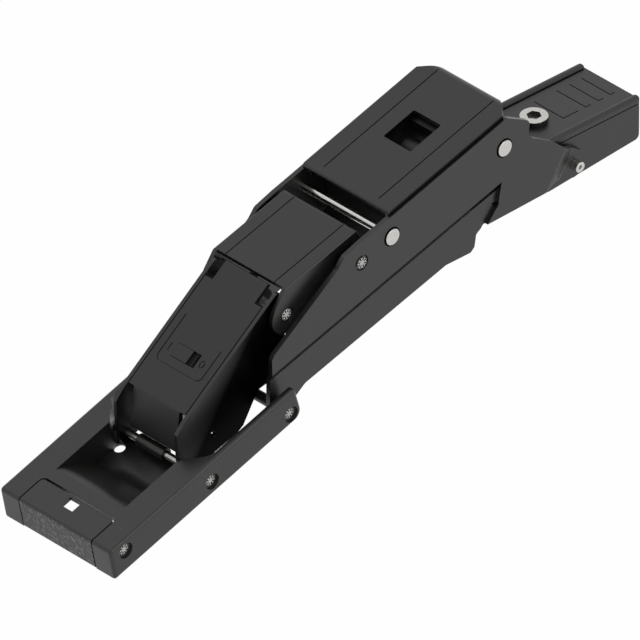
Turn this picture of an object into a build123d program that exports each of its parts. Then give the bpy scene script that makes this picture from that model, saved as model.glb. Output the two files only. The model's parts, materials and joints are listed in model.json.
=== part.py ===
from build123d import *
import math
import os

os.makedirs("parts", exist_ok=True)

# Glass door cabinet hinge, fully open. All sizes in millimetres, angles in degrees.
# Side-view places are (x, z) from the door pivot axis: +X towards the cabinet end,
# +Z up, and Y across the hinge with the middle of its width at 0.
# The origin of the finished part is where the cam screw's axis meets the block's base.
pivot_back = 109.7
pivot_drop = 17.2
fit = 0.02
running_fit = 0.06

# Pins, as seen from the side
pivot_pin_at = (0.0, 0.0)
damper_pin_at = (-28.8, -7.6)
latch_pin_at = (-60.2, -14.5)
bridge_pin_at = (29.6, 32.2)
knuckle_pin_at = (5.8, 25.2)
front_rod_at = (40.7, 35.3)
rear_rod_at = (82.0, 44.1)
hook_pin_at = (111.9, 23.3)
pin_radius = 1.1
star_radius = 1.65
star_depth = 0.9
star_points = 8
star_recess_radius = 2.35
star_recess_depth = 0.8

# Tilt of each link's long axis from the horizontal
housing_tilt = 16.55
link_tilt = 36.6
bridge_tilt = 14.2
cover_tilt = 15.1

# Door housing, in its own axes: x along it from the pivot, z up from the pivot
housing_half = 21.0
housing_front = -67.7
housing_rear = 3.6
housing_top = 6.9
housing_base = -3.1
housing_front_lean = 0.9
housing_edge_radius = 1.0
housing_tail_radius = 3.0
pocket_half = 12.8
pocket_front = -52.3
pocket_lip_run = 4.5
pocket_lip_radius = 9.0
pocket_floor = -2.3
pocket_floor_start = -40.0
fork_wall = 1.9
fork_half = housing_half - fork_wall
fork_start = -27.0
hollow_roof = 5.1
hollow_ramp_top = -53.0
hollow_ramp_foot = -42.0
floor_hole_at = -33.3
floor_hole_across = 11.6
floor_hole_radius = 1.6

# Front latch, in the housing's axes
latch_seat_half = 13.9
latch_side_gap = 0.4
latch_half = latch_seat_half - latch_side_gap
latch_rear = -57.6
latch_rear_gap = 0.5
latch_seat_rear = latch_rear + latch_rear_gap
latch_wall = 1.2
latch_corner_radius = 1.5
latch_lift = 0.4
latch_boss_radius = 2.3
latch_boss_inner = 5.0
window_from = -61.9
window_to = -58.5
window_left = 2.4
window_right = -1.8

# Damper link, in its own axes: x along it from the damper pin, z up
link_plate_inner = 10.9
link_plate_outer = 12.1
link_top = 12.9
link_eye_radius = 3.0
link_end_radius = 4.5
link_slot_radius = 2.7
link_hole_at = (10.7, -0.2)
link_cover_start = 9.6
link_cover_shoulder = 44.4
link_cover_end = 50.9
link_cover_wall = 1.2
link_cover_depth = 13.0
link_tongue_half = 7.9
link_edge_gap = 0.3
strap_half = 8.6
switch_from = 21.3
switch_to = 25.5
switch_left = 4.7
switch_right = -3.9
slider_length = 5.7
slider_play = 0.1
panel_half = 8.3
panel_from = 18.7
panel_to_left = 33.0
panel_to_right = 29.0
mark_one_at = 6.5
mark_nought_at = -5.7
mark_height = 2.5
groove_width = 0.35
groove_depth = 0.25

# Damper cartridge inside the link
damper_level = 5.6
damper_radius = 3.2
damper_from = 14.0
damper_to = 33.0
damper_rod_radius = 1.0
damper_rod_start = 24.0
damper_tip_radius = 1.8
damper_tip_length = 2.0
damper_tip_end = 42.91
cam_radius = 3.9
cam_offset = 1.5
cam_direction = -60.0
cam_half = 3.0

# Bridge plate, in its own axes: x along it from the bridge pin, z up
bridge_half = 13.6
bridge_thickness = 1.3
bridge_top = 7.5
bridge_front = -23.3
bridge_rear = 3.6
bridge_knuckle_radius = 5.5
knuckle_recess = 0.4
bridge_heel_radius = 4.6
bridge_edge_radius = 0.5
bridge_groove_at = 9.2

# Arm plates
arm_half = 17.0
plate_thickness = 1.4
strip_step = 1.0
step_front = (-10.0, 7.6)
step_rear = (81.1, 31.45)
step_slope = 2.28
step_end = ((79.8, 27.0), (75.0, 21.5))
step_lap = 1.0
ear_half = 13.0
tip_radius = 3.2
ear_radius = 4.2
bend_start = (99.1, 24.2)
bend_rise = (5.7, 8.5)
bend_length = 9.0

# Arm cover and the spring box under it, in the cover's axes
cover_front_at = (39.9, 42.8)
cover_edge_inset = 0.65
cover_half = arm_half - cover_edge_inset
cover_length = 48.2
cover_wall = 1.5
cover_lip = 1.1
cover_inner_half = arm_half - plate_thickness - 0.1
cover_skirt_wall = 1.6
cover_skirt_inner = cover_inner_half - cover_skirt_wall
cover_skirt_depth = 4.5
cover_front_radius = 1.2
cover_tail_radius = 3.0
cover_corner_cut = (4.8, 5.85)
cover_groove_at = 10.4
opening_from = 19.8
opening_to = 31.5
opening_half = 5.1
box_side_gap = 0.4
box_half = cover_skirt_inner - box_side_gap
box_from = 6.5
box_to = 38.0
box_depth = 22.5
box_nose_from = 2.6
box_foot = 0.6
box_nose_depth = 5.4
box_recess_depth = 4.6
box_bump_radius = 3.4

# Rods and rivets
rod_radius = 1.25
rivet_radius = 2.4
rivet_height = 0.45
tube_radius = 1.55
sleeve_radius = 1.8
sleeve_left = 6.4
sleeve_right = -3.5
washer_radius = 2.75
bridge_star_radius = 1.75
bridge_pin_recess = 0.5

# Closing spring round the bridge pin
spring_coil_radius = 2.6
spring_wire_radius = 0.6
spring_pitch = 1.1
spring_turns = 4
spring_inner = 3.0
spring_leg = 8.0

# Mounting block
block_half = 11.5
block_front = 98.0
block_rear = 138.0
block_foot = 104.2
block_pad_level = 31.9
block_pad_fall = 1.83
block_base_rise = 2.8
rail_height = 1.0
rail_width = 2.2
rail_drop = 2.0
side_recess = 0.45
block_corner_radius = 1.5
cavity_half = 7.5
cavity_ceiling = 28.0
cavity_to = 128.0
screw_head_radius = 3.9
screw_head_height = 1.6
screw_shank_radius = 2.0
screw_cam_radius = 2.6
screw_cam_offset = 0.8
screw_foot = 22.4
socket_radius = 2.1
socket_depth = 1.2
hook_neck_radius = 1.1
hook_ring_radius = 1.55
hook_ring_length = 1.6
hook_hole_radius = 0.6
hook_reach = 15.4
hook_root = 7.5
ruler_marks = ((116.0, 5.7), (124.3, 2.1), (129.0, 2.0), (133.5, 1.8))
ruler_left = 6.45
ruler_right = -4.7


def side_view(at, tilt=0.0):
    """Drawing plane seen from the near side, with its origin on a side-view place."""
    angle = math.radians(tilt)
    origin = (at[0] - pivot_back, 0, at[1] - pivot_drop)
    return Plane(origin=origin, x_dir=(math.cos(angle), 0, math.sin(angle)), z_dir=(0, -1, 0))


def plan_view(view):
    """Drawing plane seen from above in the axes of a side view."""
    return Plane(origin=view.origin, x_dir=view.x_dir, z_dir=view.y_dir)


def turned(at, centre, tilt):
    """A side-view place in the axes of a link with this centre and tilt."""
    angle = math.radians(tilt)
    across, up = at[0] - centre[0], at[1] - centre[1]
    return (
        across * math.cos(angle) + up * math.sin(angle),
        up * math.cos(angle) - across * math.sin(angle),
    )


def outline(*corners):
    """Closed flat outline from (x, z) or (x, z, corner radius) corners."""
    points = [corner[:2] for corner in corners]
    radii = [corner[2] if len(corner) > 2 else 0 for corner in corners]
    if max(radii) == 0:
        return make_face(Polyline(*points, close=True))
    return make_face(FilletPolyline(*points, radius=radii, close=True))


def rectangle(x_from, x_to, z_from, z_to):
    """Flat rectangle given by its sides."""
    size = (x_to - x_from, z_to - z_from)
    return Pos((x_from + x_to) / 2, (z_from + z_to) / 2) * Rectangle(*size)


def slab(face, view, y_from, y_to):
    """Flat side-view outline made solid between two places across the hinge."""
    return extrude(view.offset(-y_to) * face, amount=y_to - y_from)


def prism(face, view, low, high):
    """Flat plan outline made solid between two levels of a side view."""
    return extrude(plan_view(view).offset(low) * face, amount=high - low)


def bar(view, at, radius, y_from, y_to):
    """Round bar across the hinge."""
    return slab(Pos(*at) * Circle(radius), view, y_from, y_to)


def both_sides(solid):
    """A solid and its mirror image across the middle of the hinge."""
    return solid + mirror(solid, Plane.XZ)


def star_face(radius):
    """Star-shaped end of a pin: a round with shallow flutes."""
    face = Circle(radius)
    for flute in PolarLocations(radius, star_points):
        face -= flute * Circle(radius * 0.17)
    return face


def star_pin(at, half_length):
    """Pin across the hinge with a fluted head at each end."""
    view = side_view(at)
    pin = bar(view, (0, 0), pin_radius, -half_length, half_length)
    head = slab(star_face(star_radius), view, half_length - star_depth, half_length)
    return pin + both_sides(head)


def star_seat(at, half_width, recess):
    """Room for a star pin in walls whose outer faces stand at half_width."""
    view = side_view(at)
    end = half_width - recess
    room = bar(view, (0, 0), star_radius + fit, end - star_depth, end)
    if recess > 0:
        room += bar(view, (0, 0), star_recess_radius, end, half_width + 1)
    shank = bar(view, (0, 0), pin_radius + fit, -half_width, half_width)
    return both_sides(room) + shank


def rivet_rod(at, radius, half_length):
    """Rod across the hinge with a flat head outside each plate."""
    view = side_view(at)
    rod = bar(view, (0, 0), radius, -half_length - 0.1, half_length + 0.1)
    head = bar(view, (0, 0), rivet_radius, half_length, half_length + rivet_height)
    head = fillet(head.edges().group_by(Axis.Y)[-1], 0.2)
    return rod + both_sides(head)


def ring(at, outer, inner, y_from, y_to):
    """Washer or tube across the hinge."""
    view = side_view(at)
    return slab(Circle(outer) - Circle(inner), view, y_from, y_to)


housing_view = side_view(pivot_pin_at, housing_tilt)
link_view = side_view(damper_pin_at, link_tilt)
bridge_view = side_view(bridge_pin_at, bridge_tilt)
cover_view = side_view(cover_front_at, cover_tilt)
level_view = side_view(pivot_pin_at)
knuckle_in_link = turned(knuckle_pin_at, damper_pin_at, link_tilt)
knuckle_in_bridge = turned(knuckle_pin_at, bridge_pin_at, bridge_tilt)
latch_in_housing = turned(latch_pin_at, pivot_pin_at, housing_tilt)
wall_pin_half = housing_half - star_recess_depth


# Door housing: a fork with a scooped pocket for the link and a seat for the latch
def make_housing():
    body = slab(
        outline(
            (housing_front, housing_base, 0.6),
            (housing_front + housing_front_lean, housing_top, 1.2),
            (housing_rear, housing_top, 1.2),
            (housing_rear, housing_base, housing_tail_radius),
        ),
        housing_view,
        -housing_half,
        housing_half,
    )
    long_edges = body.edges().filter_by(lambda e: e.length > 60 and abs(e.center().Y) > housing_half - 0.1)
    body = fillet(long_edges.sort_by(Axis.Z)[-2:], housing_edge_radius)
    high = housing_top + 4
    low = housing_base - 2
    tail = housing_rear + 5
    scoop = outline(
        (pocket_front - pocket_lip_run, high),
        (pocket_front - pocket_lip_run, housing_top + 0.25),
        (pocket_front, housing_top, pocket_lip_radius),
        (pocket_floor_start, pocket_floor, 7.0),
        (fork_start + 1, pocket_floor),
        (fork_start + 1, high),
    )
    body -= slab(scoop, housing_view, -pocket_half, pocket_half)
    widening = outline(
        (-35.5, -pocket_half),
        (-33.0, -pocket_half, 3.0),
        (-26.5, -fork_half, 5.0),
        (tail, -fork_half),
        (tail, fork_half),
        (-26.5, fork_half, 5.0),
        (-33.0, pocket_half, 3.0),
        (-35.5, pocket_half),
    )
    body -= prism(widening, housing_view, pocket_floor, high)
    through = widening & rectangle(fork_start, tail, -housing_half, housing_half)
    body -= prism(through, housing_view, low, pocket_floor + 1)
    seat = outline(
        (housing_front - 3, -latch_seat_half),
        (latch_seat_rear, -latch_seat_half, latch_corner_radius + 0.4),
        (latch_seat_rear, latch_seat_half, latch_corner_radius + 0.4),
        (housing_front - 3, latch_seat_half),
    )
    body -= prism(seat, housing_view, low, high)
    hollow = outline(
        (latch_seat_rear - 1, low),
        (latch_seat_rear - 1, hollow_roof),
        (hollow_ramp_top, hollow_roof, 1.0),
        (hollow_ramp_foot, housing_base),
        (hollow_ramp_foot, low),
    )
    body -= slab(hollow, housing_view, -pocket_half, pocket_half)
    for side in (1, -1):
        hole = Pos(floor_hole_at, side * floor_hole_across) * Circle(floor_hole_radius)
        body -= prism(hole, housing_view, low, pocket_floor + 0.6)
    for at in (pivot_pin_at, damper_pin_at, latch_pin_at):
        body -= star_seat(at, housing_half, star_recess_depth)
    return body


# Front latch: a thin grained shell that rocks on its own pin
def make_latch():
    plan = outline(
        (housing_front - 3, -latch_half),
        (latch_rear, -latch_half, latch_corner_radius),
        (latch_rear, latch_half, latch_corner_radius),
        (housing_front - 3, latch_half),
    )
    section = outline(
        (housing_front, housing_base + latch_lift, 0.5),
        (housing_front + housing_front_lean, housing_top, 1.0),
        (latch_rear, housing_top, 0.4),
        (latch_rear, housing_top - 2.2, 0.5),
        (latch_rear - 0.8, housing_base + 2.8, 1.5),
        (latch_rear - 3.5, housing_base + latch_lift, 1.0),
    )
    body = slab(section, housing_view, -latch_half, latch_half)
    body &= prism(plan, housing_view, housing_base - 1, housing_top + 1)
    wall = latch_wall
    inside = outline(
        (housing_front + wall, housing_base - 1),
        (housing_front + wall + housing_front_lean, housing_top - wall, 0.8),
        (latch_rear + 1, housing_top - wall),
        (latch_rear + 1, housing_base - 1),
    )
    body -= slab(inside, housing_view, wall - latch_half, latch_half - wall)
    boss = bar(
        housing_view, latch_in_housing, latch_boss_radius, latch_boss_inner, latch_half - 0.5
    )
    web_at = latch_in_housing[0]
    web = rectangle(web_at - 0.8, web_at + 0.8, latch_in_housing[1], housing_top - 0.5)
    boss += slab(web, housing_view, latch_boss_inner, latch_half - 0.5)
    body += both_sides(boss)
    window = rectangle(window_from, window_to, window_right, window_left)
    body -= prism(window, housing_view, housing_top - 2, housing_top + 1)
    body -= bar(housing_view, latch_in_housing, pin_radius + running_fit, -housing_half, housing_half)
    return body


# Damper link: two side plates with a moulded cover between them
def link_plate_face():
    x_end, z_end = knuckle_in_link
    face = Circle(link_eye_radius) + Pos(x_end, z_end) * Circle(link_end_radius)
    face += outline(
        (-2.9, 0.6),
        (-0.65, 5.3, 1.5),
        (3.8, 12.2, 0.8),
        (7.7, link_top, 1.0),
        (x_end + 2.6, link_top, 1.6),
        (x_end + 4.45, z_end + 0.6),
        (x_end + 2.6, z_end - 3.6),
        (x_end - 1.4, z_end - 4.2, 3.0),
        (34.5, -6.6, 3.0),
        (31.0, -6.4, 1.5),
        (27.9, -4.8, 2.0),
        (18.4, -8.6, 1.2),
        (16.0, -8.4, 1.2),
        (1.2, -2.7),
    )
    face -= Circle(pin_radius + running_fit)
    face -= Pos(x_end, z_end) * Circle(link_slot_radius)
    face -= Pos(*link_hole_at) * Circle(1.0)
    return face


def make_link_plate_left():
    return slab(link_plate_face(), link_view, link_plate_inner, link_plate_outer)


def make_link_plate_right():
    return mirror(make_link_plate_left(), Plane.XZ)


def make_link_cover():
    start, shoulder, end = link_cover_start, link_cover_shoulder, link_cover_end
    half = link_plate_inner
    under = link_top - link_cover_wall
    body = slab(rectangle(start, shoulder, under, link_top), link_view, -half, half)
    tongue = slab(
        outline((shoulder - 2, under), (shoulder - 2, link_top), (end, link_top, 0.6), (end, under)),
        link_view,
        -link_tongue_half,
        link_tongue_half,
    )
    body += tongue
    cheek = outline(
        (start, link_top),
        (start, 8.0),
        (13.0, -3.0, 1.5),
        (26.0, -1.5, 2.0),
        (40.0, 4.0, 2.0),
        (shoulder - 4, under),
        (shoulder - 4, link_top),
    )
    side = slab(cheek, link_view, half - 1.3, half)
    rim = rectangle(start - 1, shoulder + 1, link_top - 0.6, link_top + 1)
    side -= slab(rim, link_view, half - link_edge_gap, half + 1)
    body -= both_sides(slab(rim, link_view, half - link_edge_gap, half + 1))
    body += both_sides(side)
    strap = outline(
        (start + 1.5, link_top),
        (start, link_top, 1.2),
        (0.9, 3.9, 1.0),
        (2.3, 2.2),
        (2.9, -3.2),
        (4.1, -3.2),
        (3.6, 2.6),
        (start + 0.6, under, 0.8),
        (start + 1.5, under),
    )
    body += slab(strap, link_view, -strap_half, strap_half)
    bulkhead = rectangle(start + 0.4, start + 0.4 + link_cover_wall, -3.0, under + 0.1)
    body += slab(bulkhead, link_view, 0.6 - half, half - 0.6)
    for rib_at in (damper_from + 1.0, damper_to - 2.0):
        rib = rectangle(rib_at, rib_at + 1.4, 1.5, under + 0.1)
        rib = slab(rib, link_view, 0.6 - half, half - 0.6)
        body += rib
    bore = Plane(link_view.origin, x_dir=(0, 1, 0), z_dir=link_view.x_dir)
    spot = bore.to_local_coords(link_view.from_local_coords((damper_from, damper_level, 0)))
    seat = Pos(spot.X, spot.Y) * Circle(damper_radius + fit)
    body -= extrude(bore.offset(damper_from) * seat, amount=damper_to - damper_from)
    slot = rectangle(switch_from, switch_to, switch_right, switch_left)
    body -= prism(slot, link_view, under - 1, link_top + 1)
    return body


def link_marks():
    """Shallow lines and digits on the link's cover."""
    deep = link_top - groove_depth
    width = groove_width / 2
    frame = outline(
        (panel_from - width, -panel_half - width, 2.0),
        (panel_from - width, panel_half + width, 2.0),
        (panel_to_left, panel_half + width),
        (panel_to_left, panel_half - width),
        (panel_from + width, panel_half - width, 1.6),
        (panel_from + width, width - panel_half, 1.6),
        (panel_to_right, width - panel_half),
        (panel_to_right, -panel_half - width),
    )
    marks = prism(frame, link_view, deep, link_top + 1)
    middle = (switch_from + switch_to) / 2
    one = Pos(middle, mark_one_at) * Rectangle(mark_height, 0.4)
    marks += prism(one, link_view, deep, link_top + 1)
    nought = Ellipse(mark_height / 2, 0.85) - Ellipse(mark_height / 2 - 0.4, 0.45)
    marks += prism(Pos(middle, mark_nought_at) * nought, link_view, deep, link_top + 1)
    return marks


def make_marked_link_cover():
    return make_link_cover() - link_marks()


def along_link(radius, x_from, x_to):
    """Round bar along the link at the damper's level."""
    bore = Plane(link_view.origin, x_dir=(0, 1, 0), z_dir=link_view.x_dir)
    spot = bore.to_local_coords(link_view.from_local_coords((x_from, damper_level, 0)))
    return extrude(bore.offset(x_from) * Pos(spot.X, spot.Y) * Circle(radius), amount=x_to - x_from)


def make_damper_cylinder():
    body = along_link(damper_radius, damper_from + 0.05, damper_to - 0.05)
    return body - along_link(damper_rod_radius + running_fit, damper_rod_start - 4, damper_to + 1)


def make_damper_rod():
    rod = along_link(damper_rod_radius, damper_rod_start, damper_tip_end - 1)
    return rod + along_link(damper_tip_radius, damper_tip_end - damper_tip_length, damper_tip_end)


def make_slider():
    play = slider_play
    top = link_top + 0.15
    knob = rectangle(
        switch_from + play, switch_to - play, switch_left - slider_length, switch_left - play
    )
    body = prism(knob, link_view, link_top - link_cover_wall - 1.2, top)
    under = link_top - link_cover_wall
    foot = rectangle(
        switch_from - 1, switch_to + 1, switch_left - slider_length - 1, switch_left + 1
    )
    body += prism(foot, link_view, under - 1.0, under - 0.05)
    return body


# Bridge plate: a folded cap between the link and the arm
def make_bridge():
    x_knuckle, z_knuckle = knuckle_in_bridge
    half = bridge_half
    shape = Pos(x_knuckle, z_knuckle) * Circle(bridge_knuckle_radius)
    shape += Circle(bridge_heel_radius)
    shape += outline(
        (bridge_front, bridge_top),
        (bridge_rear, bridge_top, 1.6),
        (bridge_rear + 0.9, 0.8),
        (0.8, -bridge_heel_radius + 0.08),
        (-2.0, 0.4 - bridge_heel_radius),
        (x_knuckle + 1.0, z_knuckle - bridge_knuckle_radius + 0.12),
        (x_knuckle - 4.6, z_knuckle + 3.4, 2.0),
    )
    body = slab(shape, bridge_view, -half, half)
    top_edges = body.edges().filter_by(lambda e: e.length > 20 and abs(e.center().Y) > half - 0.1)
    body = fillet(top_edges.sort_by(Axis.Z)[-2:], bridge_edge_radius)
    inside = rectangle(-40, 10, -20, bridge_top - bridge_thickness)
    inner_half = half - bridge_thickness
    body -= slab(inside, bridge_view, -inner_half, inner_half)
    ahead = rectangle(-40, bridge_front, -20, bridge_top + 1)
    body -= slab(ahead, bridge_view, -inner_half, inner_half)
    for side in (1, -1):
        middle = side * bridge_groove_at
        width = groove_width / 2
        line = rectangle(bridge_front - 1, bridge_rear + 1, middle - width, middle + width)
        body -= prism(line, bridge_view, bridge_top - groove_depth, bridge_top + 1)
    body -= bar(bridge_view, (0, 0), rod_radius + running_fit, -half - 1, half + 1)
    body -= star_seat(knuckle_pin_at, half, knuckle_recess)
    return body


def make_damper_cam():
    view = side_view(knuckle_pin_at)
    angle = math.radians(cam_direction)
    middle = (cam_offset * math.cos(angle), cam_offset * math.sin(angle))
    face = Pos(*middle) * Circle(cam_radius) - Circle(pin_radius + fit)
    return slab(face, view, -cam_half, cam_half)


# Arm plates: two stepped side plates whose rear ears bend in to the block
def arm_face():
    face = outline(
        (-3.0, 0.6),
        (-3.0, 11.0, 2.0),
        (-3.2, 16.5, 1.0),
        (-2.3, 17.8, 1.0),
        (20.9, 33.9, 2.0),
        (23.2, 36.7, 1.5),
        (29.4, 38.7, 2.0),
        (35.1, 40.2, 1.0),
        (82.9, 53.1, 1.5),
        (91.4, 48.4, 2.0),
        (90.9, 44.2, 0.8),
        (92.5, 42.3, 1.0),
        (99.7, 38.0, 2.0),
        (104.8, 33.4, 2.0),
        (hook_pin_at[0] + 3.2, hook_pin_at[1] + 2.7),
        (hook_pin_at[0] + 0.3, hook_pin_at[1] - 4.15),
        (110.4, 19.4),
        (101.0, 22.6, 2.0),
        (75.2, 22.6, 0.6),
        (74.3, 21.6, 0.3),
        (72.7, 20.6, 1.0),
        (72.1, 16.9, 0.8),
        (70.7, 15.7, 0.8),
        (61.6, 16.0, 2.0),
        (9.95, 2.94, 2.0),
        (6.6, 0.6, 1.0),
        (2.6, -1.7),
    )
    face += Circle(tip_radius)
    face += Pos(*hook_pin_at) * Circle(ear_radius)
    face -= outline((78.2, 27.9), (80.2, 27.6), (79.4, 26.2))
    return face


def upper_region():
    """The part of the plate that stands outwards, above the step and behind it."""
    return outline(
        (step_front[0], step_front[1] + step_slope),
        (step_rear[0], step_rear[1] + step_slope),
        step_end[0],
        step_end[1],
        (step_end[1][0], 5.0),
        (130.0, 5.0),
        (130.0, 60.0),
        (step_front[0], 60.0),
    )


def lower_region():
    """The stepped-in strip below, lapping the upper part at its rear end."""
    return outline(
        step_front,
        (step_rear[0] + step_lap, step_rear[1] + 0.26 * step_lap),
        (step_end[0][0] + step_lap, step_end[0][1] - 0.4),
        (step_end[1][0] + step_lap, step_end[1][1] - 1.0),
        (step_end[1][0] + step_lap, -20.0),
        (step_front[0], -20.0),
    )


def step_region():
    """The sloping band between the two."""
    return outline(
        step_front,
        step_rear,
        (step_rear[0], step_rear[1] + step_slope),
        (step_front[0], step_front[1] + step_slope),
    )


def step_sheet():
    """Sheet that slopes outwards by the step over the height of the band."""
    run = (step_rear[0] - step_front[0], step_rear[1] - step_front[1])
    inner = arm_half - plate_thickness
    origin = (step_front[0] - pivot_back - run[0], 0, step_front[1] - pivot_drop - run[1])
    section = outline(
        (inner - strip_step, 0),
        (arm_half - strip_step, 0),
        (arm_half, step_slope),
        (inner, step_slope),
    )
    start = Plane(origin=origin, x_dir=(0, 1, 0), z_dir=(1, 0, 0))
    length = 3 * math.hypot(*run)
    return extrude(start * section, amount=length, dir=(run[0], 0, run[1]))


def make_arm_plate_left():
    face = arm_face()
    upper = face & upper_region()
    lower = face & lower_region()
    inner = arm_half - plate_thickness
    foot = ear_half - plate_thickness
    body = slab(lower, level_view, inner - strip_step, arm_half - strip_step)
    slope = slab(face & step_region(), level_view, inner - strip_step, arm_half)
    body += slope & step_sheet()
    bent = slab(upper, level_view, foot - 1, arm_half + 1)
    x_bend = bend_start[0]
    plan = outline(
        (-20, inner),
        (x_bend, inner, 3.0),
        (x_bend + bend_length, foot, 3.0),
        (130, foot),
        (130, ear_half),
        (x_bend + bend_length, ear_half, 3.0),
        (x_bend, arm_half, 3.0),
        (-20, arm_half),
    )
    run = 5.0
    level = bend_start[1] - run * bend_rise[1]
    start = Plane(
        origin=(-pivot_back - run * bend_rise[0], 0, level - pivot_drop),
        x_dir=(1, 0, 0),
        z_dir=(0, 0, 1),
    )
    length = 2 * run * math.hypot(*bend_rise)
    sheet = extrude(start * plan, amount=length, dir=(bend_rise[0], 0, bend_rise[1]))
    body += bent & sheet
    for at, radius in (
        (front_rod_at, rod_radius + fit),
        (rear_rod_at, rod_radius + fit),
        (bridge_pin_at, rod_radius + fit),
        (pivot_pin_at, pin_radius + running_fit),
        (hook_pin_at, hook_neck_radius + fit),
    ):
        body -= bar(level_view, at, radius, 5, arm_half + 1)
    seat = arm_half - bridge_pin_recess
    body -= bar(level_view, bridge_pin_at, star_recess_radius, seat, arm_half + 1)
    return body


def make_arm_plate_right():
    return mirror(make_arm_plate_left(), Plane.XZ)


# Arm cover: a pressed cap over the arm plates
def make_arm_cover():
    half = cover_half
    length = cover_length
    tail = cover_tail_radius
    lid = slab(
        outline(
            (0, -cover_lip),
            (0, 0, cover_front_radius * 0.8),
            (length, 0, tail),
            (length + 0.6, -6.0),
            (length - 1.0, -6.0),
            (length - 1.8, -cover_lip, 2.6),
            (length - 6.0, -cover_lip),
        ),
        cover_view,
        -half,
        half,
    )
    cut_x, cut_y = cover_corner_cut
    corner = outline(
        (length - cut_x, half + 0.01),
        (length + 3, half + 0.01),
        (length + 3, half - cut_y * (cut_x + 3) / cut_x),
    )
    lid -= both_sides(prism(corner, cover_view, -10, 2))
    lid_edges = lid.edges().filter_by(lambda e: e.length > 30 and abs(e.center().Y) > half - 0.1)
    lid = fillet(lid_edges.sort_by(Axis.Z)[-2:], 0.4)
    skirt = outline(
        (0.6, -cover_lip + 0.5),
        (0.6, -cover_skirt_depth + 0.8, 0.8),
        (2.0, -cover_skirt_depth),
        (length - 6.0, -cover_skirt_depth),
        (length - 5.0, -cover_lip + 0.5),
    )
    body = lid + both_sides(slab(skirt, cover_view, cover_skirt_inner, cover_inner_half))
    plate = rectangle(0.6, length - 5.0, -cover_wall, -0.5)
    body += slab(plate, cover_view, -cover_inner_half, cover_inner_half)
    hole = outline(
        (opening_from, -opening_half, 0.5),
        (opening_to, -opening_half, 0.5),
        (opening_to, opening_half, 0.5),
        (opening_from, opening_half, 0.5),
    )
    body -= prism(hole, cover_view, -10, 2)
    over_plates = rectangle(length - 8, length + 3, -10, -cover_lip)
    body -= both_sides(slab(over_plates, cover_view, cover_inner_half, half + 1))
    for side in (1, -1):
        middle = side * cover_groove_at
        width = groove_width / 2
        line = rectangle(2.5, length + 2, middle - width, middle + width)
        body -= prism(line, cover_view, -groove_depth, 1)
    return body


# Spring box: the dark moulding under the cover, seen through the cover's opening
def make_inner_carrier():
    under = -cover_wall
    section = outline(
        (box_nose_from, under, 0.8),
        (box_to, under),
        (box_to, 1.5 - box_depth, 1.0),
        (box_to - 3.0, -box_depth, 1.0),
        (box_foot + 1.5, -box_depth, 1.0),
        (box_foot, 2.0 - box_depth, 1.0),
        (box_foot + 3.6, -10.0, 1.0),
        (box_from, -box_nose_depth, 0.8),
        (box_nose_from, -box_nose_depth, 1.9),
    )
    body = slab(section, cover_view, -box_half, box_half)
    floor = under - box_recess_depth
    recess = rectangle(opening_from - 1.5, opening_to + 1.2, -opening_half - 1.5, opening_half + 1.5)
    body -= prism(recess, cover_view, floor, 1)
    lip = rectangle(opening_to - 1.6, opening_to + 1.3, floor - 0.1, under - 0.8)
    lip = slab(lip, cover_view, -opening_half - 1.6, opening_half + 1.6)
    lip = fillet(lip.edges().filter_by(Axis.Y).group_by(Axis.Z)[-1], 0.8)
    body += lip
    bump_at = (opening_from + opening_to) / 2 - 0.8
    bump = bar(cover_view, (bump_at, floor - 1.6), box_bump_radius, -3.2, 3.2)
    keep = rectangle(opening_from - 1, opening_to + 1, floor - 0.2, under)
    body += bump & slab(keep, cover_view, -3.2, 3.2)
    core = rectangle(box_from + 1.4, box_to - 1.4, -box_depth - 1, floor - 1.4)
    body -= slab(core, cover_view, 1.4 - box_half, box_half - 1.4)
    return body


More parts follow.
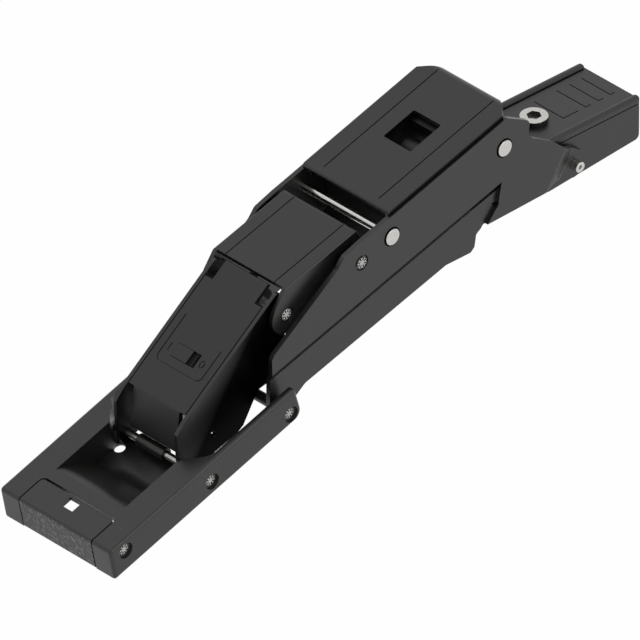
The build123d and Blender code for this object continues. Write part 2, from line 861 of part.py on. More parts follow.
# Mounting block with its two rails, ruler marks and cam screw
def make_block():
    pad = side_view((112.0, block_pad_level), -block_pad_fall)
    base_rise = math.tan(math.radians(block_base_rise))
    rear_base = pivot_drop + (block_rear - pivot_back) * base_rise
    front_base = pivot_drop + (block_foot - pivot_back) * base_rise
    fall = math.tan(math.radians(block_pad_fall))
    pad_front = block_pad_level - (block_front - 112.0) * fall
    pad_rear = block_pad_level - (block_rear - 112.0) * fall
    section = outline(
        (block_front, 25.0, 1.0),
        (block_front, pad_front, 1.5),
        (block_rear, pad_rear),
        (block_rear, rear_base, block_corner_radius),
        (block_foot, front_base),
        (block_foot - 0.5, 20.4),
        (102.2, 22.9),
    )
    side_half = block_half - side_recess
    body = slab(section, level_view, -side_half, side_half)
    rail_from = block_front - 112.0
    rail_to = block_rear - 112.0
    rail = slab(
        rectangle(rail_from, rail_to, -rail_drop, rail_height),
        pad,
        block_half - rail_width,
        block_half,
    )
    rail = fillet(rail.edges().filter_by(lambda e: e.length > 30).group_by(Axis.Z)[-1], 0.95)
    rear_edges = rail.edges().filter_by(lambda e: e.center().X > block_rear - pivot_back - 0.1)
    rail = fillet(rear_edges.filter_by(Axis.Z, tolerance=3), 0.7)
    body += both_sides(rail)
    cavity = outline(
        (block_front - 1, 26.8),
        (103.2, 24.5),
        (106.4, 22.6),
        (109.8, 18.8),
        (cavity_to, 19.8, 1.5),
        (cavity_to, cavity_ceiling - 0.6, 1.5),
        (block_front - 1, cavity_ceiling + 0.3),
    )
    body -= slab(cavity, level_view, -cavity_half, cavity_half)
    for mark_at, leg in ruler_marks:
        along = mark_at - 112.0
        stroke = rectangle(along, along + groove_width, ruler_right, ruler_left)
        foot = rectangle(along, along + leg, ruler_right, ruler_right + groove_width)
        body -= prism(stroke + foot, pad, -groove_depth, 1)
    shank = Plane(origin=(0, 0, 0), x_dir=(1, 0, 0), z_dir=(0, 0, 1))
    body -= extrude(shank * Circle(screw_shank_radius + running_fit), amount=30)
    seat_level = block_pad_level + 0.08 - pivot_drop
    body -= extrude(shank.offset(seat_level) * Circle(screw_head_radius + 0.3), amount=5)
    view = side_view(hook_pin_at)
    body -= both_sides(bar(view, (0, 0), hook_neck_radius + fit, cavity_half - 1, block_half + 1))
    return body


def make_cam_screw():
    seat_level = block_pad_level + 0.12 - pivot_drop
    floor = Plane(origin=(0, 0, 0), x_dir=(1, 0, 0), z_dir=(0, 0, 1))
    head = extrude(floor.offset(seat_level) * Circle(screw_head_radius), amount=screw_head_height)
    head = fillet(head.edges().group_by(Axis.Z)[-1], 0.25)
    socket_at = floor.offset(seat_level + screw_head_height - socket_depth)
    head -= extrude(socket_at * RegularPolygon(socket_radius, 6), amount=2)
    foot = screw_foot - pivot_drop
    shank = extrude(floor.offset(foot) * Circle(screw_shank_radius), amount=seat_level - foot)
    cam = Pos(screw_cam_offset, 0) * Circle(screw_cam_radius)
    shank += extrude(floor.offset(foot + 0.8) * cam, amount=3.0)
    return head + shank


def make_hook_pin_left():
    view = side_view(hook_pin_at)
    pin = bar(view, (0, 0), hook_neck_radius, hook_root + 0.5, hook_reach - 0.2)
    head = bar(view, (0, 0), hook_ring_radius, ear_half, hook_reach)
    head -= bar(view, (0, 0), hook_hole_radius, hook_reach - 1.5, hook_reach + 1)
    pin -= bar(view, (0, 0), hook_hole_radius, hook_reach - 1.5, hook_reach + 1)
    return pin + head


def make_hook_pin_right():
    return mirror(make_hook_pin_left(), Plane.XZ)


# Closing spring: two coils round the bridge pin, its ends bearing inside the arm
def make_closing_spring():
    centre = side_view(bridge_pin_at).origin
    profile_plane = Plane(origin=centre, x_dir=(1, 0, 0), z_dir=(0, 0, 1))
    first = spring_inner + spring_wire_radius
    last = first + (spring_turns - 1) * spring_pitch
    profile = rectangle(spring_coil_radius - 0.3, spring_coil_radius + 0.3, first, last)
    for turn in range(spring_turns):
        coil_at = first + turn * spring_pitch
        profile += Pos(spring_coil_radius, coil_at) * Circle(spring_wire_radius)
    half = revolve(profile_plane * profile, axis=Axis(centre, (0, 1, 0)), revolution_arc=360)
    wire = Circle(spring_wire_radius - 0.05)
    side = centre.X + spring_coil_radius
    start = Plane(origin=(side, first, centre.Z), z_dir=(0, 0, -1))
    half += extrude(start * wire, amount=spring_leg)
    finish = Plane(origin=(side, last, centre.Z), z_dir=(0.15, 0, -0.989))
    half += extrude(finish * wire, amount=spring_leg)
    low = centre.Z - spring_leg + spring_wire_radius
    yoke = Plane(origin=(side, -0.1, low), z_dir=(0, 1, 0)) * Circle(spring_wire_radius - 0.15)
    half += extrude(yoke, amount=first + 0.1)
    return both_sides(half)


def make_pivot_tube():
    strip = arm_half - strip_step - plate_thickness
    return ring(pivot_pin_at, tube_radius, pin_radius + running_fit, -strip, strip)


def make_damper_sleeve():
    return ring(damper_pin_at, sleeve_radius, pin_radius + fit, sleeve_right, sleeve_left)


def make_pivot_washer_left():
    side = arm_half - strip_step + 0.05
    return ring(pivot_pin_at, washer_radius, pin_radius + fit, side, fork_half)


def make_pivot_washer_right():
    return mirror(make_pivot_washer_left(), Plane.XZ)


def make_bridge_washer_left():
    inner = arm_half - plate_thickness
    return ring(bridge_pin_at, washer_radius, rod_radius + fit, bridge_half + 0.05, inner)


def make_bridge_washer_right():
    return mirror(make_bridge_washer_left(), Plane.XZ)


def make_bridge_pin():
    view = side_view(bridge_pin_at)
    seat = arm_half - bridge_pin_recess
    pin = bar(view, (0, 0), rod_radius, -seat - 0.1, seat + 0.1)
    return pin + both_sides(slab(star_face(bridge_star_radius), view, seat, arm_half + 0.1))


def make_front_rod():
    return rivet_rod(front_rod_at, rod_radius, arm_half)


def make_rear_rod():
    return rivet_rod(rear_rod_at, rod_radius, arm_half)


def make_pivot_pin():
    return star_pin(pivot_pin_at, wall_pin_half)


def make_damper_pin():
    return star_pin(damper_pin_at, wall_pin_half)


def make_latch_pin():
    return star_pin(latch_pin_at, wall_pin_half)


def make_knuckle_pin():
    return star_pin(knuckle_pin_at, bridge_half - knuckle_recess)


pieces = {
    "mounting_block": make_block,
    "cam_screw": make_cam_screw,
    "hook_pin_left": make_hook_pin_left,
    "hook_pin_right": make_hook_pin_right,
    "arm_plate_left": make_arm_plate_left,
    "arm_plate_right": make_arm_plate_right,
    "arm_cover": make_arm_cover,
    "inner_carrier": make_inner_carrier,
    "front_rod": make_front_rod,
    "rear_rod": make_rear_rod,
    "bridge_pin": make_bridge_pin,
    "bridge_washer_left": make_bridge_washer_left,
    "bridge_washer_right": make_bridge_washer_right,
    "closing_spring": make_closing_spring,
    "pivot_tube": make_pivot_tube,
    "door_housing": make_housing,
    "pivot_pin": make_pivot_pin,
    "pivot_washer_left": make_pivot_washer_left,
    "pivot_washer_right": make_pivot_washer_right,
    "damper_pin": make_damper_pin,
    "damper_sleeve": make_damper_sleeve,
    "latch_pin": make_latch_pin,
    "front_latch": make_latch,
    "link_plate_left": make_link_plate_left,
    "link_plate_right": make_link_plate_right,
    "link_cover": make_marked_link_cover,
    "damper_cylinder": make_damper_cylinder,
    "damper_rod": make_damper_rod,
    "slider_switch": make_slider,
    "bridge_plate": make_bridge,
    "knuckle_pin": make_knuckle_pin,
    "damper_cam": make_damper_cam,
}

for name, make in pieces.items():
    export_step(make(), f"parts/{name}.step")
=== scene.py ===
import bmesh
import bpy
import json
import math
from mathutils import Matrix, Vector


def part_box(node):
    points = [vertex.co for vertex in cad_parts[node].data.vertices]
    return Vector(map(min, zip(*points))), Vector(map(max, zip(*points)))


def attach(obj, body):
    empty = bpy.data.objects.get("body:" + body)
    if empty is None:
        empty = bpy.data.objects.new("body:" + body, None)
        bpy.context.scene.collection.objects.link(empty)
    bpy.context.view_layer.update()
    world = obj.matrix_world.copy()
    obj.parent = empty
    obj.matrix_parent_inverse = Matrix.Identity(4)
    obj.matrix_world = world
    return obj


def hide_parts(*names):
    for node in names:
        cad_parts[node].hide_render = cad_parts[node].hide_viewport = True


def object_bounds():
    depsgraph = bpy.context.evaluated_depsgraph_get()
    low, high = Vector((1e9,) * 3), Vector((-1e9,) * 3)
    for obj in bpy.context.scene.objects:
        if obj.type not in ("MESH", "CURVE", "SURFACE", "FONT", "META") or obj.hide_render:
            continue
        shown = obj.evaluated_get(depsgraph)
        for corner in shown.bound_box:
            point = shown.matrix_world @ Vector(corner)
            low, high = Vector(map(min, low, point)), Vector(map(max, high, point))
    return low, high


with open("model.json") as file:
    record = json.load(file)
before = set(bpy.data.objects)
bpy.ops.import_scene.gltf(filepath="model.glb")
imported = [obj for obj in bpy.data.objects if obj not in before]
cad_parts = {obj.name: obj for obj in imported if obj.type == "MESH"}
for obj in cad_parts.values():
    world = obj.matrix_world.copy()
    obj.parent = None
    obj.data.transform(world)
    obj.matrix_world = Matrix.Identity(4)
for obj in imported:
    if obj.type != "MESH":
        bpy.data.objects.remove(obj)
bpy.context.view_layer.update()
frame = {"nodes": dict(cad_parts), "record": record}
print("frame loaded", len(frame["nodes"]), "nodes")


# the camera: the photograph's view, far off so that it is almost parallel
view = {
    "azimuth": -44.15,
    "elevation": 34.0,
    "centre": (-0.08744, -0.00883, -0.00362),
    "width": 0.1682,
    "lens": 1500,
    "sensor": 36,
    "nearest": 0.1,
    "farthest": 60,
}


def makeCamera():
    azimuth = math.radians(view["azimuth"])
    elevation = math.radians(view["elevation"])
    back = Vector((math.sin(azimuth) * math.cos(elevation),
                   -math.cos(azimuth) * math.cos(elevation),
                   math.sin(elevation)))
    distance = view["width"] * view["lens"] / view["sensor"]
    data = bpy.data.cameras.new("hingeCamera")
    data.lens = view["lens"]
    data.sensor_width = view["sensor"]
    data.clip_start = view["nearest"]
    data.clip_end = view["farthest"]
    camera = bpy.data.objects.new("hingeCamera", data)
    camera.location = Vector(view["centre"]) + back * distance
    camera.rotation_mode = "QUATERNION"
    camera.rotation_quaternion = (-back).to_track_quat("-Z", "Y")
    bpy.context.collection.objects.link(camera)
    bpy.context.scene.camera = camera


# light, floor and world
studio = {
    "floorDrop": 0.10,
    "floorHalf": 3.0,
    "floorColour": (0.9, 0.9, 0.9, 1),
    "floorGlow": 0.93,
    "white": (1, 1, 1, 1),
    "worldLight": 0.88,
    "lamps": [
        # name, place, aim, size, power
        ("frontSoft", (-1.5, -0.9, 1.1), (-0.09, 0, 0), 1.2, 1.2),
        ("sideSoft", (0.2, -1.8, 1.0), (-0.09, 0, 0), 1.4, 8.5),
        ("topSoft", (-0.3, 0.6, 1.5), (-0.09, 0, 0), 0.9, 1.5),
    ],
}


def makeStudio():
    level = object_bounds()[0][2] - studio["floorDrop"]
    mesh = bpy.data.meshes.new("floor")
    bm = bmesh.new()
    bmesh.ops.create_grid(bm, x_segments=1, y_segments=1, size=studio["floorHalf"])
    bmesh.ops.translate(bm, verts=bm.verts, vec=(0, 0, level))
    bm.to_mesh(mesh)
    bm.free()
    floor = bpy.data.objects.new("floor", mesh)
    bpy.context.collection.objects.link(floor)

    paper = bpy.data.materials.new("palePaper")
    paper.use_nodes = True
    nodes, links = paper.node_tree.nodes, paper.node_tree.links
    nodes.clear()
    output = nodes.new("ShaderNodeOutputMaterial")
    diffuse = nodes.new("ShaderNodeBsdfDiffuse")
    diffuse.inputs["Color"].default_value = studio["floorColour"]
    glow = nodes.new("ShaderNodeEmission")
    glow.inputs["Color"].default_value = studio["white"]
    glow.inputs["Strength"].default_value = 1.0
    path = nodes.new("ShaderNodeLightPath")
    seen = nodes.new("ShaderNodeMath")
    seen.operation = "MULTIPLY"
    seen.inputs[1].default_value = studio["floorGlow"]
    links.new(path.outputs["Is Camera Ray"], seen.inputs[0])
    mix = nodes.new("ShaderNodeMixShader")
    links.new(seen.outputs[0], mix.inputs["Fac"])
    links.new(diffuse.outputs[0], mix.inputs[1])
    links.new(glow.outputs[0], mix.inputs[2])
    links.new(mix.outputs[0], output.inputs["Surface"])
    mesh.materials.append(paper)

    world = bpy.data.worlds.new("studio")
    world.use_nodes = True
    nodes, links = world.node_tree.nodes, world.node_tree.links
    nodes.clear()
    output = nodes.new("ShaderNodeOutputWorld")
    lit = nodes.new("ShaderNodeBackground")
    lit.inputs["Color"].default_value = studio["white"]
    lit.inputs["Strength"].default_value = studio["worldLight"]
    seenWhite = nodes.new("ShaderNodeBackground")
    seenWhite.inputs["Color"].default_value = studio["white"]
    seenWhite.inputs["Strength"].default_value = 1.0
    path = nodes.new("ShaderNodeLightPath")
    mix = nodes.new("ShaderNodeMixShader")
    links.new(path.outputs["Is Camera Ray"], mix.inputs["Fac"])
    links.new(lit.outputs[0], mix.inputs[1])
    links.new(seenWhite.outputs[0], mix.inputs[2])
    links.new(mix.outputs[0], output.inputs["Surface"])
    bpy.context.scene.world = world

    for name, place, aim, size, power in studio["lamps"]:
        data = bpy.data.lights.new(name, "AREA")
        data.shape = "SQUARE"
        data.size = size
        data.energy = power
        lamp = bpy.data.objects.new(name, data)
        lamp.location = place
        lamp.rotation_mode = "QUATERNION"
        lamp.rotation_quaternion = (Vector(aim) - Vector(place)).to_track_quat("-Z", "Y")
        bpy.context.collection.objects.link(lamp)


# the grain that all the finishes share
fineGrain = {
    "inputs": [("Vector", "NodeSocketVector"), ("Size", "NodeSocketFloat"),
               ("Depth", "NodeSocketFloat"), ("Roughness", "NodeSocketFloat"),
               ("Spread", "NodeSocketFloat"), ("Shade", "NodeSocketColor"),
               ("Fleck", "NodeSocketColor")],
    "outputs": [("Color", "NodeSocketColor"), ("Roughness", "NodeSocketFloat"),
                ("Height", "NodeSocketFloat")],
    "speckleDetail": 3,
    "cloudDetail": 2,
    "cloudSize": 120,
    "middle": 0.5,
    "fleckStart": 0.5,
    "fleckEnd": 0.75,
}


def makeFineGrain():
    # two sizes of speckle: the small one drives the bump and the flecks, the large one the gloss
    group = bpy.data.node_groups.new("fineGrain", "ShaderNodeTree")
    for label, kind in fineGrain["inputs"]:
        group.interface.new_socket(label, in_out="INPUT", socket_type=kind)
    for label, kind in fineGrain["outputs"]:
        group.interface.new_socket(label, in_out="OUTPUT", socket_type=kind)
    nodes, links = group.nodes, group.links
    start = nodes.new("NodeGroupInput")
    end = nodes.new("NodeGroupOutput")
    speckle = nodes.new("ShaderNodeTexNoise")
    speckle.inputs["Detail"].default_value = fineGrain["speckleDetail"]
    links.new(start.outputs["Vector"], speckle.inputs["Vector"])
    links.new(start.outputs["Size"], speckle.inputs["Scale"])
    cloud = nodes.new("ShaderNodeTexNoise")
    cloud.inputs["Detail"].default_value = fineGrain["cloudDetail"]
    cloud.inputs["Scale"].default_value = fineGrain["cloudSize"]
    links.new(start.outputs["Vector"], cloud.inputs["Vector"])
    height = nodes.new("ShaderNodeMath")
    height.operation = "MULTIPLY"
    links.new(speckle.outputs["Fac"], height.inputs[0])
    links.new(start.outputs["Depth"], height.inputs[1])
    links.new(height.outputs[0], end.inputs["Height"])
    swing = nodes.new("ShaderNodeMath")
    swing.operation = "SUBTRACT"
    links.new(cloud.outputs["Fac"], swing.inputs[0])
    swing.inputs[1].default_value = fineGrain["middle"]
    gloss = nodes.new("ShaderNodeMath")
    gloss.operation = "MULTIPLY_ADD"
    links.new(swing.outputs[0], gloss.inputs[0])
    links.new(start.outputs["Spread"], gloss.inputs[1])
    links.new(start.outputs["Roughness"], gloss.inputs[2])
    links.new(gloss.outputs[0], end.inputs["Roughness"])
    flecks = nodes.new("ShaderNodeMapRange")
    flecks.inputs["From Min"].default_value = fineGrain["fleckStart"]
    flecks.inputs["From Max"].default_value = fineGrain["fleckEnd"]
    links.new(speckle.outputs["Fac"], flecks.inputs["Value"])
    mix = nodes.new("ShaderNodeMix")
    mix.data_type = "RGBA"
    links.new(flecks.outputs[0], mix.inputs[0])
    links.new(start.outputs["Shade"], mix.inputs[6])
    links.new(start.outputs["Fleck"], mix.inputs[7])
    links.new(mix.outputs[2], end.inputs["Color"])
    return group


# what the finishes of one kind have in common
coat = {"size": 3000, "depth": 0.35, "bump": 0.00002, "spread": 0.10, "metal": 0.0}
moulding = {"size": 4200, "bump": 0.00001, "spread": 0.08, "metal": 0.0}
steel = {"size": 2600, "depth": 0.3, "bump": 0.00002, "spread": 0.12}
bumpStrength = 0.6
finishes = {
    "blackCoat": {**coat, "shade": (0.0050, 0.0052, 0.0048, 1),
                  "fleck": (0.0095, 0.0099, 0.0092, 1), "roughness": 0.32, "specular": 0.55},
    "blackCasting": {"shade": (0.0058, 0.0060, 0.0055, 1), "fleck": (0.0125, 0.0128, 0.0120, 1),
                     "size": 2200, "depth": 0.6, "bump": 0.00003, "roughness": 0.36,
                     "spread": 0.12, "metal": 0.0, "specular": 0.55},
    "blackMoulding": {**moulding, "shade": (0.0045, 0.0047, 0.0045, 1), "depth": 0.35,
                      "fleck": (0.0080, 0.0082, 0.0080, 1), "roughness": 0.38, "specular": 0.5},
    "innerMoulding": {**moulding, "shade": (0.0030, 0.0031, 0.0030, 1), "depth": 0.3,
                      "fleck": (0.0050, 0.0051, 0.0050, 1), "roughness": 0.4, "specular": 0.4},
    "coarseGrain": {"shade": (0.006, 0.0061, 0.006, 1), "fleck": (0.10, 0.102, 0.10, 1),
                    "size": 900, "depth": 1.0, "bump": 0.0006, "roughness": 0.38,
                    "spread": 0.2, "metal": 0.0, "specular": 0.55},
    # painted shade: a paler copy of the coat with far less reflection, for the faces of the arm
    # plates' fold, so that their bright reflection shows only as a faint light tone
    "foldPaintedShade": {**coat, "shade": (0.0150, 0.0154, 0.0148, 1),
                   "fleck": (0.0210, 0.0215, 0.0205, 1), "roughness": 0.5, "specular": 0.16},
    # painted shade: a darker, duller copy of the coat for the arm cover's sides and the link
    # plates' inner sides
    "paintedShadeCoat": {**coat, "shade": (0.0015, 0.0016, 0.0015, 1),
                   "fleck": (0.0022, 0.0023, 0.0022, 1), "roughness": 0.4, "specular": 0.12},
    # painted shade: a fade darkens the coat along an axis and holds the axis it runs along,
    # where it starts, where it ends and what is left there; the link plates' outer sides take
    # one that darkens to near black towards their lower rear
    "fadedCoat": {**coat, "shade": (0.0048, 0.0050, 0.0048, 1),
                  "fleck": (0.0065, 0.0067, 0.0065, 1), "roughness": 0.34, "specular": 0.5,
                  "fade": ((0.867, 0, -0.583), -0.1135, -0.1040, 0.04)},
    # painted shade: the slope of the arm plates' step gets a dark line, darkest at its upper
    # edge and fading out down the slope
    "stepPaintedShade": {**coat, "shade": (0.0050, 0.0052, 0.0050, 1),
                 "fleck": (0.0065, 0.0067, 0.0065, 1), "roughness": 0.34, "specular": 0.5,
                 "fade": ((0.2545, 0, -0.967), -0.0207, -0.0215, 0.03)},
    "deepShade": {**coat, "shade": (0.0004, 0.0004, 0.0004, 1), "spread": 0.05,
                  "fleck": (0.0006, 0.0006, 0.0006, 1), "roughness": 0.8, "specular": 0.02},
    # painted light: a rougher, partly unmetallic copy of the steel with a pale colour, so that
    # the knuckle pin reads brightly lit
    "paintedLightSteel": {**steel, "shade": (0.60, 0.59, 0.57, 1), "fleck": (0.45, 0.44, 0.43, 1),
                  "roughness": 0.5, "metal": 0.25, "specular": 0.6},
    "brightSteel": {**steel, "shade": (0.62, 0.61, 0.585, 1), "fleck": (0.48, 0.47, 0.455, 1),
                    "roughness": 0.2, "metal": 1.0, "specular": 0.5},
    "pinSteel": {**steel, "shade": (0.46, 0.45, 0.435, 1), "fleck": (0.30, 0.295, 0.285, 1),
                 "roughness": 0.3, "metal": 1.0, "specular": 0.5},
    # dark steel for the tubes, washers, spring and damper parts, also put on the cam screw as
    # painted shade in its socket
    "darkSteelAndShade": {**steel, "shade": (0.05, 0.049, 0.047, 1), "fleck": (0.03, 0.0295, 0.028, 1),
                  "roughness": 0.32, "metal": 0.8, "specular": 0.5},
}


def paintedShadeFade(values, nodes, links, place, grain, shader):
    # painted shade: the coat's colour and gloss fall off together along the fade's axis
    axis, start, end, least = values["fade"]
    along = nodes.new("ShaderNodeVectorMath")
    along.operation = "DOT_PRODUCT"
    along.inputs[1].default_value = axis
    left = nodes.new("ShaderNodeMapRange")
    left.inputs["From Min"].default_value = start
    left.inputs["From Max"].default_value = end
    left.inputs["To Min"].default_value = 1
    left.inputs["To Max"].default_value = least
    colour = nodes.new("ShaderNodeVectorMath")
    colour.operation = "SCALE"
    gloss = nodes.new("ShaderNodeMath")
    gloss.operation = "MULTIPLY"
    gloss.inputs[1].default_value = values["specular"]
    links.new(place.outputs["Object"], along.inputs[0])
    links.new(along.outputs["Value"], left.inputs["Value"])
    links.new(grain.outputs["Color"], colour.inputs[0])
    links.new(left.outputs["Result"], colour.inputs["Scale"])
    links.new(left.outputs["Result"], gloss.inputs[0])
    links.new(colour.outputs["Vector"], shader.inputs["Base Color"])
    links.new(gloss.outputs["Value"], shader.inputs["Specular IOR Level"])


def makeFinish(name, group):
    values = finishes[name]
    material = bpy.data.materials.new(name)
    material.use_nodes = True
    nodes, links = material.node_tree.nodes, material.node_tree.links
    shader = nodes["Principled BSDF"]
    shader.inputs["Metallic"].default_value = values["metal"]
    shader.inputs["Specular IOR Level"].default_value = values["specular"]
    place = nodes.new("ShaderNodeTexCoord")
    grain = nodes.new("ShaderNodeGroup")
    grain.node_tree = group
    for label in ("Size", "Depth", "Roughness", "Spread", "Shade", "Fleck"):
        grain.inputs[label].default_value = values[label.lower()]
    links.new(place.outputs["Object"], grain.inputs["Vector"])
    if "fade" in values:
        paintedShadeFade(values, nodes, links, place, grain, shader)
    else:
        links.new(grain.outputs["Color"], shader.inputs["Base Color"])
    links.new(grain.outputs["Roughness"], shader.inputs["Roughness"])
    bump = nodes.new("ShaderNodeBump")
    bump.inputs["Strength"].default_value = bumpStrength
    bump.inputs["Distance"].default_value = values["bump"]
    links.new(grain.outputs["Height"], bump.inputs["Height"])
    links.new(bump.outputs["Normal"], shader.inputs["Normal"])
    return material


# node, finish, edge rounding in metres (0 leaves the node as it is)
dressed = {
    "mounting_block": ("blackCasting", 0.00015),
    "arm_plate_left": ("blackCoat", 0.00012),
    "arm_plate_right": ("blackCoat", 0.00012),
    "arm_cover": ("blackCoat", 0.00012),
    "inner_carrier": ("innerMoulding", 0.0001),
    "door_housing": ("blackCasting", 0.00015),
    "front_latch": ("blackCasting", 0.00012),
    "link_plate_left": ("blackCoat", 0.0001),
    "link_plate_right": ("blackCoat", 0.0001),
    "link_cover": ("blackMoulding", 0.00005),
    "slider_switch": ("blackMoulding", 0.00012),
    "bridge_plate": ("blackCoat", 0.00012),
    "cam_screw": ("brightSteel", 0.0001),
    "hook_pin_left": ("brightSteel", 0.0001),
    "hook_pin_right": ("brightSteel", 0.0001),
    "front_rod": ("brightSteel", 0),
    "rear_rod": ("brightSteel", 0),
    "bridge_pin": ("pinSteel", 0),
    "pivot_pin": ("pinSteel", 0),
    "damper_pin": ("pinSteel", 0),
    "latch_pin": ("pinSteel", 0),
    # the knuckle pin takes the steel with painted light
    "knuckle_pin": ("paintedLightSteel", 0),
    "pivot_tube": ("darkSteelAndShade", 0),
    "damper_sleeve": ("darkSteelAndShade", 0),
    "pivot_washer_left": ("darkSteelAndShade", 0),
    "pivot_washer_right": ("darkSteelAndShade", 0),
    "bridge_washer_left": ("darkSteelAndShade", 0),
    "bridge_washer_right": ("darkSteelAndShade", 0),
    "closing_spring": ("darkSteelAndShade", 0),
    "damper_cylinder": ("innerMoulding", 0),
    "damper_rod": ("darkSteelAndShade", 0),
    "damper_cam": ("darkSteelAndShade", 0),
}
# faces that take a finish of their own, by the way they face: finish, direction, least cosine
specialFaces = {
    "front_latch": [("coarseGrain", (-0.97, 0, -0.2), 0.8)],
    # painted shade on the arm plates: the fold's faces take a duller copy of the coat, and the
    # step's slope takes a painted dark line
    "arm_plate_right": [("foldPaintedShade", (0.42, -0.85, -0.3), 0.965),
                        ("stepPaintedShade", (0.105, -0.911, -0.399), 0.97)],
    "arm_plate_left": [("foldPaintedShade", (0.42, 0.85, -0.3), 0.965),
                       ("stepPaintedShade", (0.105, 0.911, -0.399), 0.97)],
    # painted shade: the screw's side-facing faces, its socket walls among them, take the dark
    # steel so that the socket reads dark
    "cam_screw": [("darkSteelAndShade", (1, 0, 0), 0.69), ("darkSteelAndShade", (-1, 0, 0), 0.69),
                  ("darkSteelAndShade", (0, 1, 0), 0.69), ("darkSteelAndShade", (0, -1, 0), 0.69)],
    # painted shade on the link plates: their outer sides fade to near black, and their inner
    # sides and the arm cover's sides take a darker, duller copy of the coat
    "link_plate_right": [("fadedCoat", (0, -1, 0), 0.8), ("paintedShadeCoat", (0, 1, 0), 0.8)],
    "link_plate_left": [("fadedCoat", (0, 1, 0), 0.8), ("paintedShadeCoat", (0, -1, 0), 0.8)],
    "arm_cover": [("paintedShadeCoat", (0, -1, 0), 0.8), ("paintedShadeCoat", (0, 1, 0), 0.8)],
}
# plates whose large faces are shaded flat, and the area in square metres from which they are
flatPlates = {
    "nodes": ["arm_plate_right", "arm_plate_left", "link_plate_right", "link_plate_left"],
    "least": 0.000006,
}
# how a copy is merged, how near to flat its faces join, and the fold in degrees that is rounded
rounding = {"merge": 0.000002, "flatten": 0.6, "segments": 2, "fold": 21}
bodyOf = {node: body for body, group in frame["record"]["behaviour"]["bodies"].items()
          for node in group}


def camel(node):
    words = node.split("_")
    return words[0] + "".join(word.capitalize() for word in words[1:])


def roundedCopy(node, width, materials, finish):
    # a merged copy of the node with its sharp edges rounded
    mesh = frame["nodes"][node].data.copy()
    bm = bmesh.new()
    bm.from_mesh(mesh)
    bmesh.ops.remove_doubles(bm, verts=bm.verts, dist=rounding["merge"])
    bmesh.ops.dissolve_limit(bm, angle_limit=math.radians(rounding["flatten"]),
                             verts=bm.verts, edges=bm.edges,
                             use_dissolve_boundaries=False, delimit={"NORMAL"})
    bm.to_mesh(mesh)
    bm.free()
    mesh.materials.clear()
    mesh.materials.append(materials[finish])
    for special, direction, limit in specialFaces.get(node, []):
        mesh.materials.append(materials[special])
        facing = Vector(direction).normalized()
        for face in mesh.polygons:
            if face.normal.dot(facing) > limit:
                face.material_index = len(mesh.materials) - 1
    piece = bpy.data.objects.new(camel(node) + "Rounded", mesh)
    bpy.context.collection.objects.link(piece)
    flat = flatPlates["least"] if node in flatPlates["nodes"] else math.inf
    for face in mesh.polygons:
        face.use_smooth = face.area < flat
    bevel = piece.modifiers.new("edges", "BEVEL")
    bevel.width = width
    bevel.segments = rounding["segments"]
    bevel.limit_method = "ANGLE"
    bevel.angle_limit = math.radians(rounding["fold"])
    bevel.use_clamp_overlap = True
    weighted = piece.modifiers.new("shading", "WEIGHTED_NORMAL")
    weighted.keep_sharp = True
    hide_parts(node)
    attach(piece, bodyOf[node])


def dressNodes(materials):
    for node, (finish, width) in dressed.items():
        if width > 0:
            roundedCopy(node, width, materials, finish)
        else:
            shown = frame["nodes"][node]
            shown.data.materials.clear()
            shown.data.materials.append(materials[finish])


def finishPiece(name, bm, node, material):
    # a new small piece that moves with a node's body
    bmesh.ops.recalc_face_normals(bm, faces=bm.faces)
    mesh = bpy.data.meshes.new(name)
    bm.to_mesh(mesh)
    bm.free()
    mesh.materials.append(material)
    piece = bpy.data.objects.new(name, mesh)
    bpy.context.collection.objects.link(piece)
    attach(piece, bodyOf[node])


# painted shadow: dark rings where the flat rivets meet the arm's plates
rivetShadowRings = {
    "nodes": ["front_rod", "rear_rod"],
    "plate": "arm_plate_left",
    "under": 0.0002,
    "beyond": 0.0004,
    "sunk": 0.00002,
    "height": 0.0001,
    "steps": 56,
}


def addRing(bm, centre, inner, outer, low, high, steps):
    corners = [bm.verts.new((centre.x + radius, height, centre.z))
               for radius, height in ((inner, low), (outer, low), (outer, high), (inner, high))]
    loop = bm.faces.new(corners)
    edges = list(loop.edges)
    bmesh.ops.delete(bm, geom=[loop], context="FACES_ONLY")
    bmesh.ops.spin(bm, geom=corners + edges, cent=centre, axis=(0, 1, 0), angle=2 * math.pi,
                   steps=steps, use_merge=True, use_duplicate=False)


def makeRivetShadowRings(material):
    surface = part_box(rivetShadowRings["plate"])[1][1]
    for node in rivetShadowRings["nodes"]:
        low, high = (Vector(corner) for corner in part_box(node))
        centre = (low + high) / 2
        radius = (high.x - low.x) / 2
        bm = bmesh.new()
        for side in (1, -1):
            ends = sorted((side * (surface - rivetShadowRings["sunk"]),
                           side * (surface + rivetShadowRings["height"])))
            addRing(bm, Vector((centre.x, 0, centre.z)), radius - rivetShadowRings["under"],
                    radius + rivetShadowRings["beyond"], ends[0], ends[1], rivetShadowRings["steps"])
        finishPiece(camel(node) + "Rings", bm, node, material)


# painted shade: dark teeth on the star-ended pins' ends stand for the shade in their pressed
# star; from and to are shares of the pin's radius
starFluteShade = {
    "nodes": ["pivot_pin", "damper_pin", "latch_pin", "bridge_pin", "knuckle_pin"],
    "count": 8,
    "from": 0.45,
    "to": 0.97,
    "width": 0.00032,
    "proud": 0.00004,
}


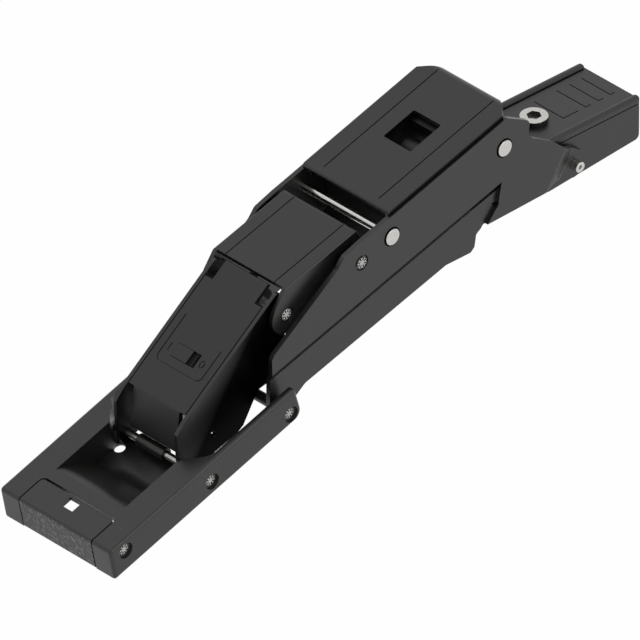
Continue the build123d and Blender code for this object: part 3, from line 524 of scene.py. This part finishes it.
def makeStarFluteShade(material):
    for node in starFluteShade["nodes"]:
        low, high = (Vector(corner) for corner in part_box(node))
        centre = (low + high) / 2
        radius = (high.x - low.x) / 2
        inner, outer = starFluteShade["from"] * radius, starFluteShade["to"] * radius
        size = Matrix.Diagonal((outer - inner, 2 * starFluteShade["proud"], starFluteShade["width"], 1))
        bm = bmesh.new()
        for end in (low.y, high.y):
            for tooth in range(starFluteShade["count"]):
                angle = 2 * math.pi * (tooth + 0.5) / starFluteShade["count"]
                turn = Matrix.Rotation(angle, 4, "Y")
                place = Matrix.Translation((centre.x, end, centre.z)) @ turn
                place = place @ Matrix.Translation(((inner + outer) / 2, 0, 0)) @ size
                bmesh.ops.create_cube(bm, size=1, matrix=place)
        finishPiece(camel(node) + "Teeth", bm, node, material)


# painted shadow: fine dark lines at the feet of the block's two rails, in the pad's own slope
railShadowLines = {
    "corner": (0.0023, 0.0147),
    "slope": 1.83,
    "from": -0.0137,
    "to": 0.0250,
    "strips": [
        # across, level, wide, tall
        (0.00915, 0.00003, 0.00030, 0.00010),
        (0.01150, -0.00120, 0.00006, 0.00026),
    ],
}


def makeRailShadowLines(material):
    length = railShadowLines["to"] - railShadowLines["from"]
    middle = (railShadowLines["to"] + railShadowLines["from"]) / 2
    pad = Matrix.Translation((railShadowLines["corner"][0], 0, railShadowLines["corner"][1]))
    pad = pad @ Matrix.Rotation(math.radians(railShadowLines["slope"]), 4, "Y")
    bm = bmesh.new()
    for across, level, wide, tall in railShadowLines["strips"]:
        size = Matrix.Diagonal((length, wide, tall, 1))
        for side in (1, -1):
            place = pad @ Matrix.Translation((middle, side * across, level)) @ size
            bmesh.ops.create_cube(bm, size=1, matrix=place)
    finishPiece("railShadowLines", bm, "mounting_block", material)


bpy.context.scene.view_settings.view_transform = "Standard"
makeCamera()
makeStudio()
print("camera and studio made")
grainGroup = makeFineGrain()
materials = {name: makeFinish(name, grainGroup) for name in finishes}
print("materials made")
dressNodes(materials)
print("nodes dressed")
makeRivetShadowRings(materials["deepShade"])
makeStarFluteShade(materials["deepShade"])
makeRailShadowLines(materials["deepShade"])
print("small pieces made")
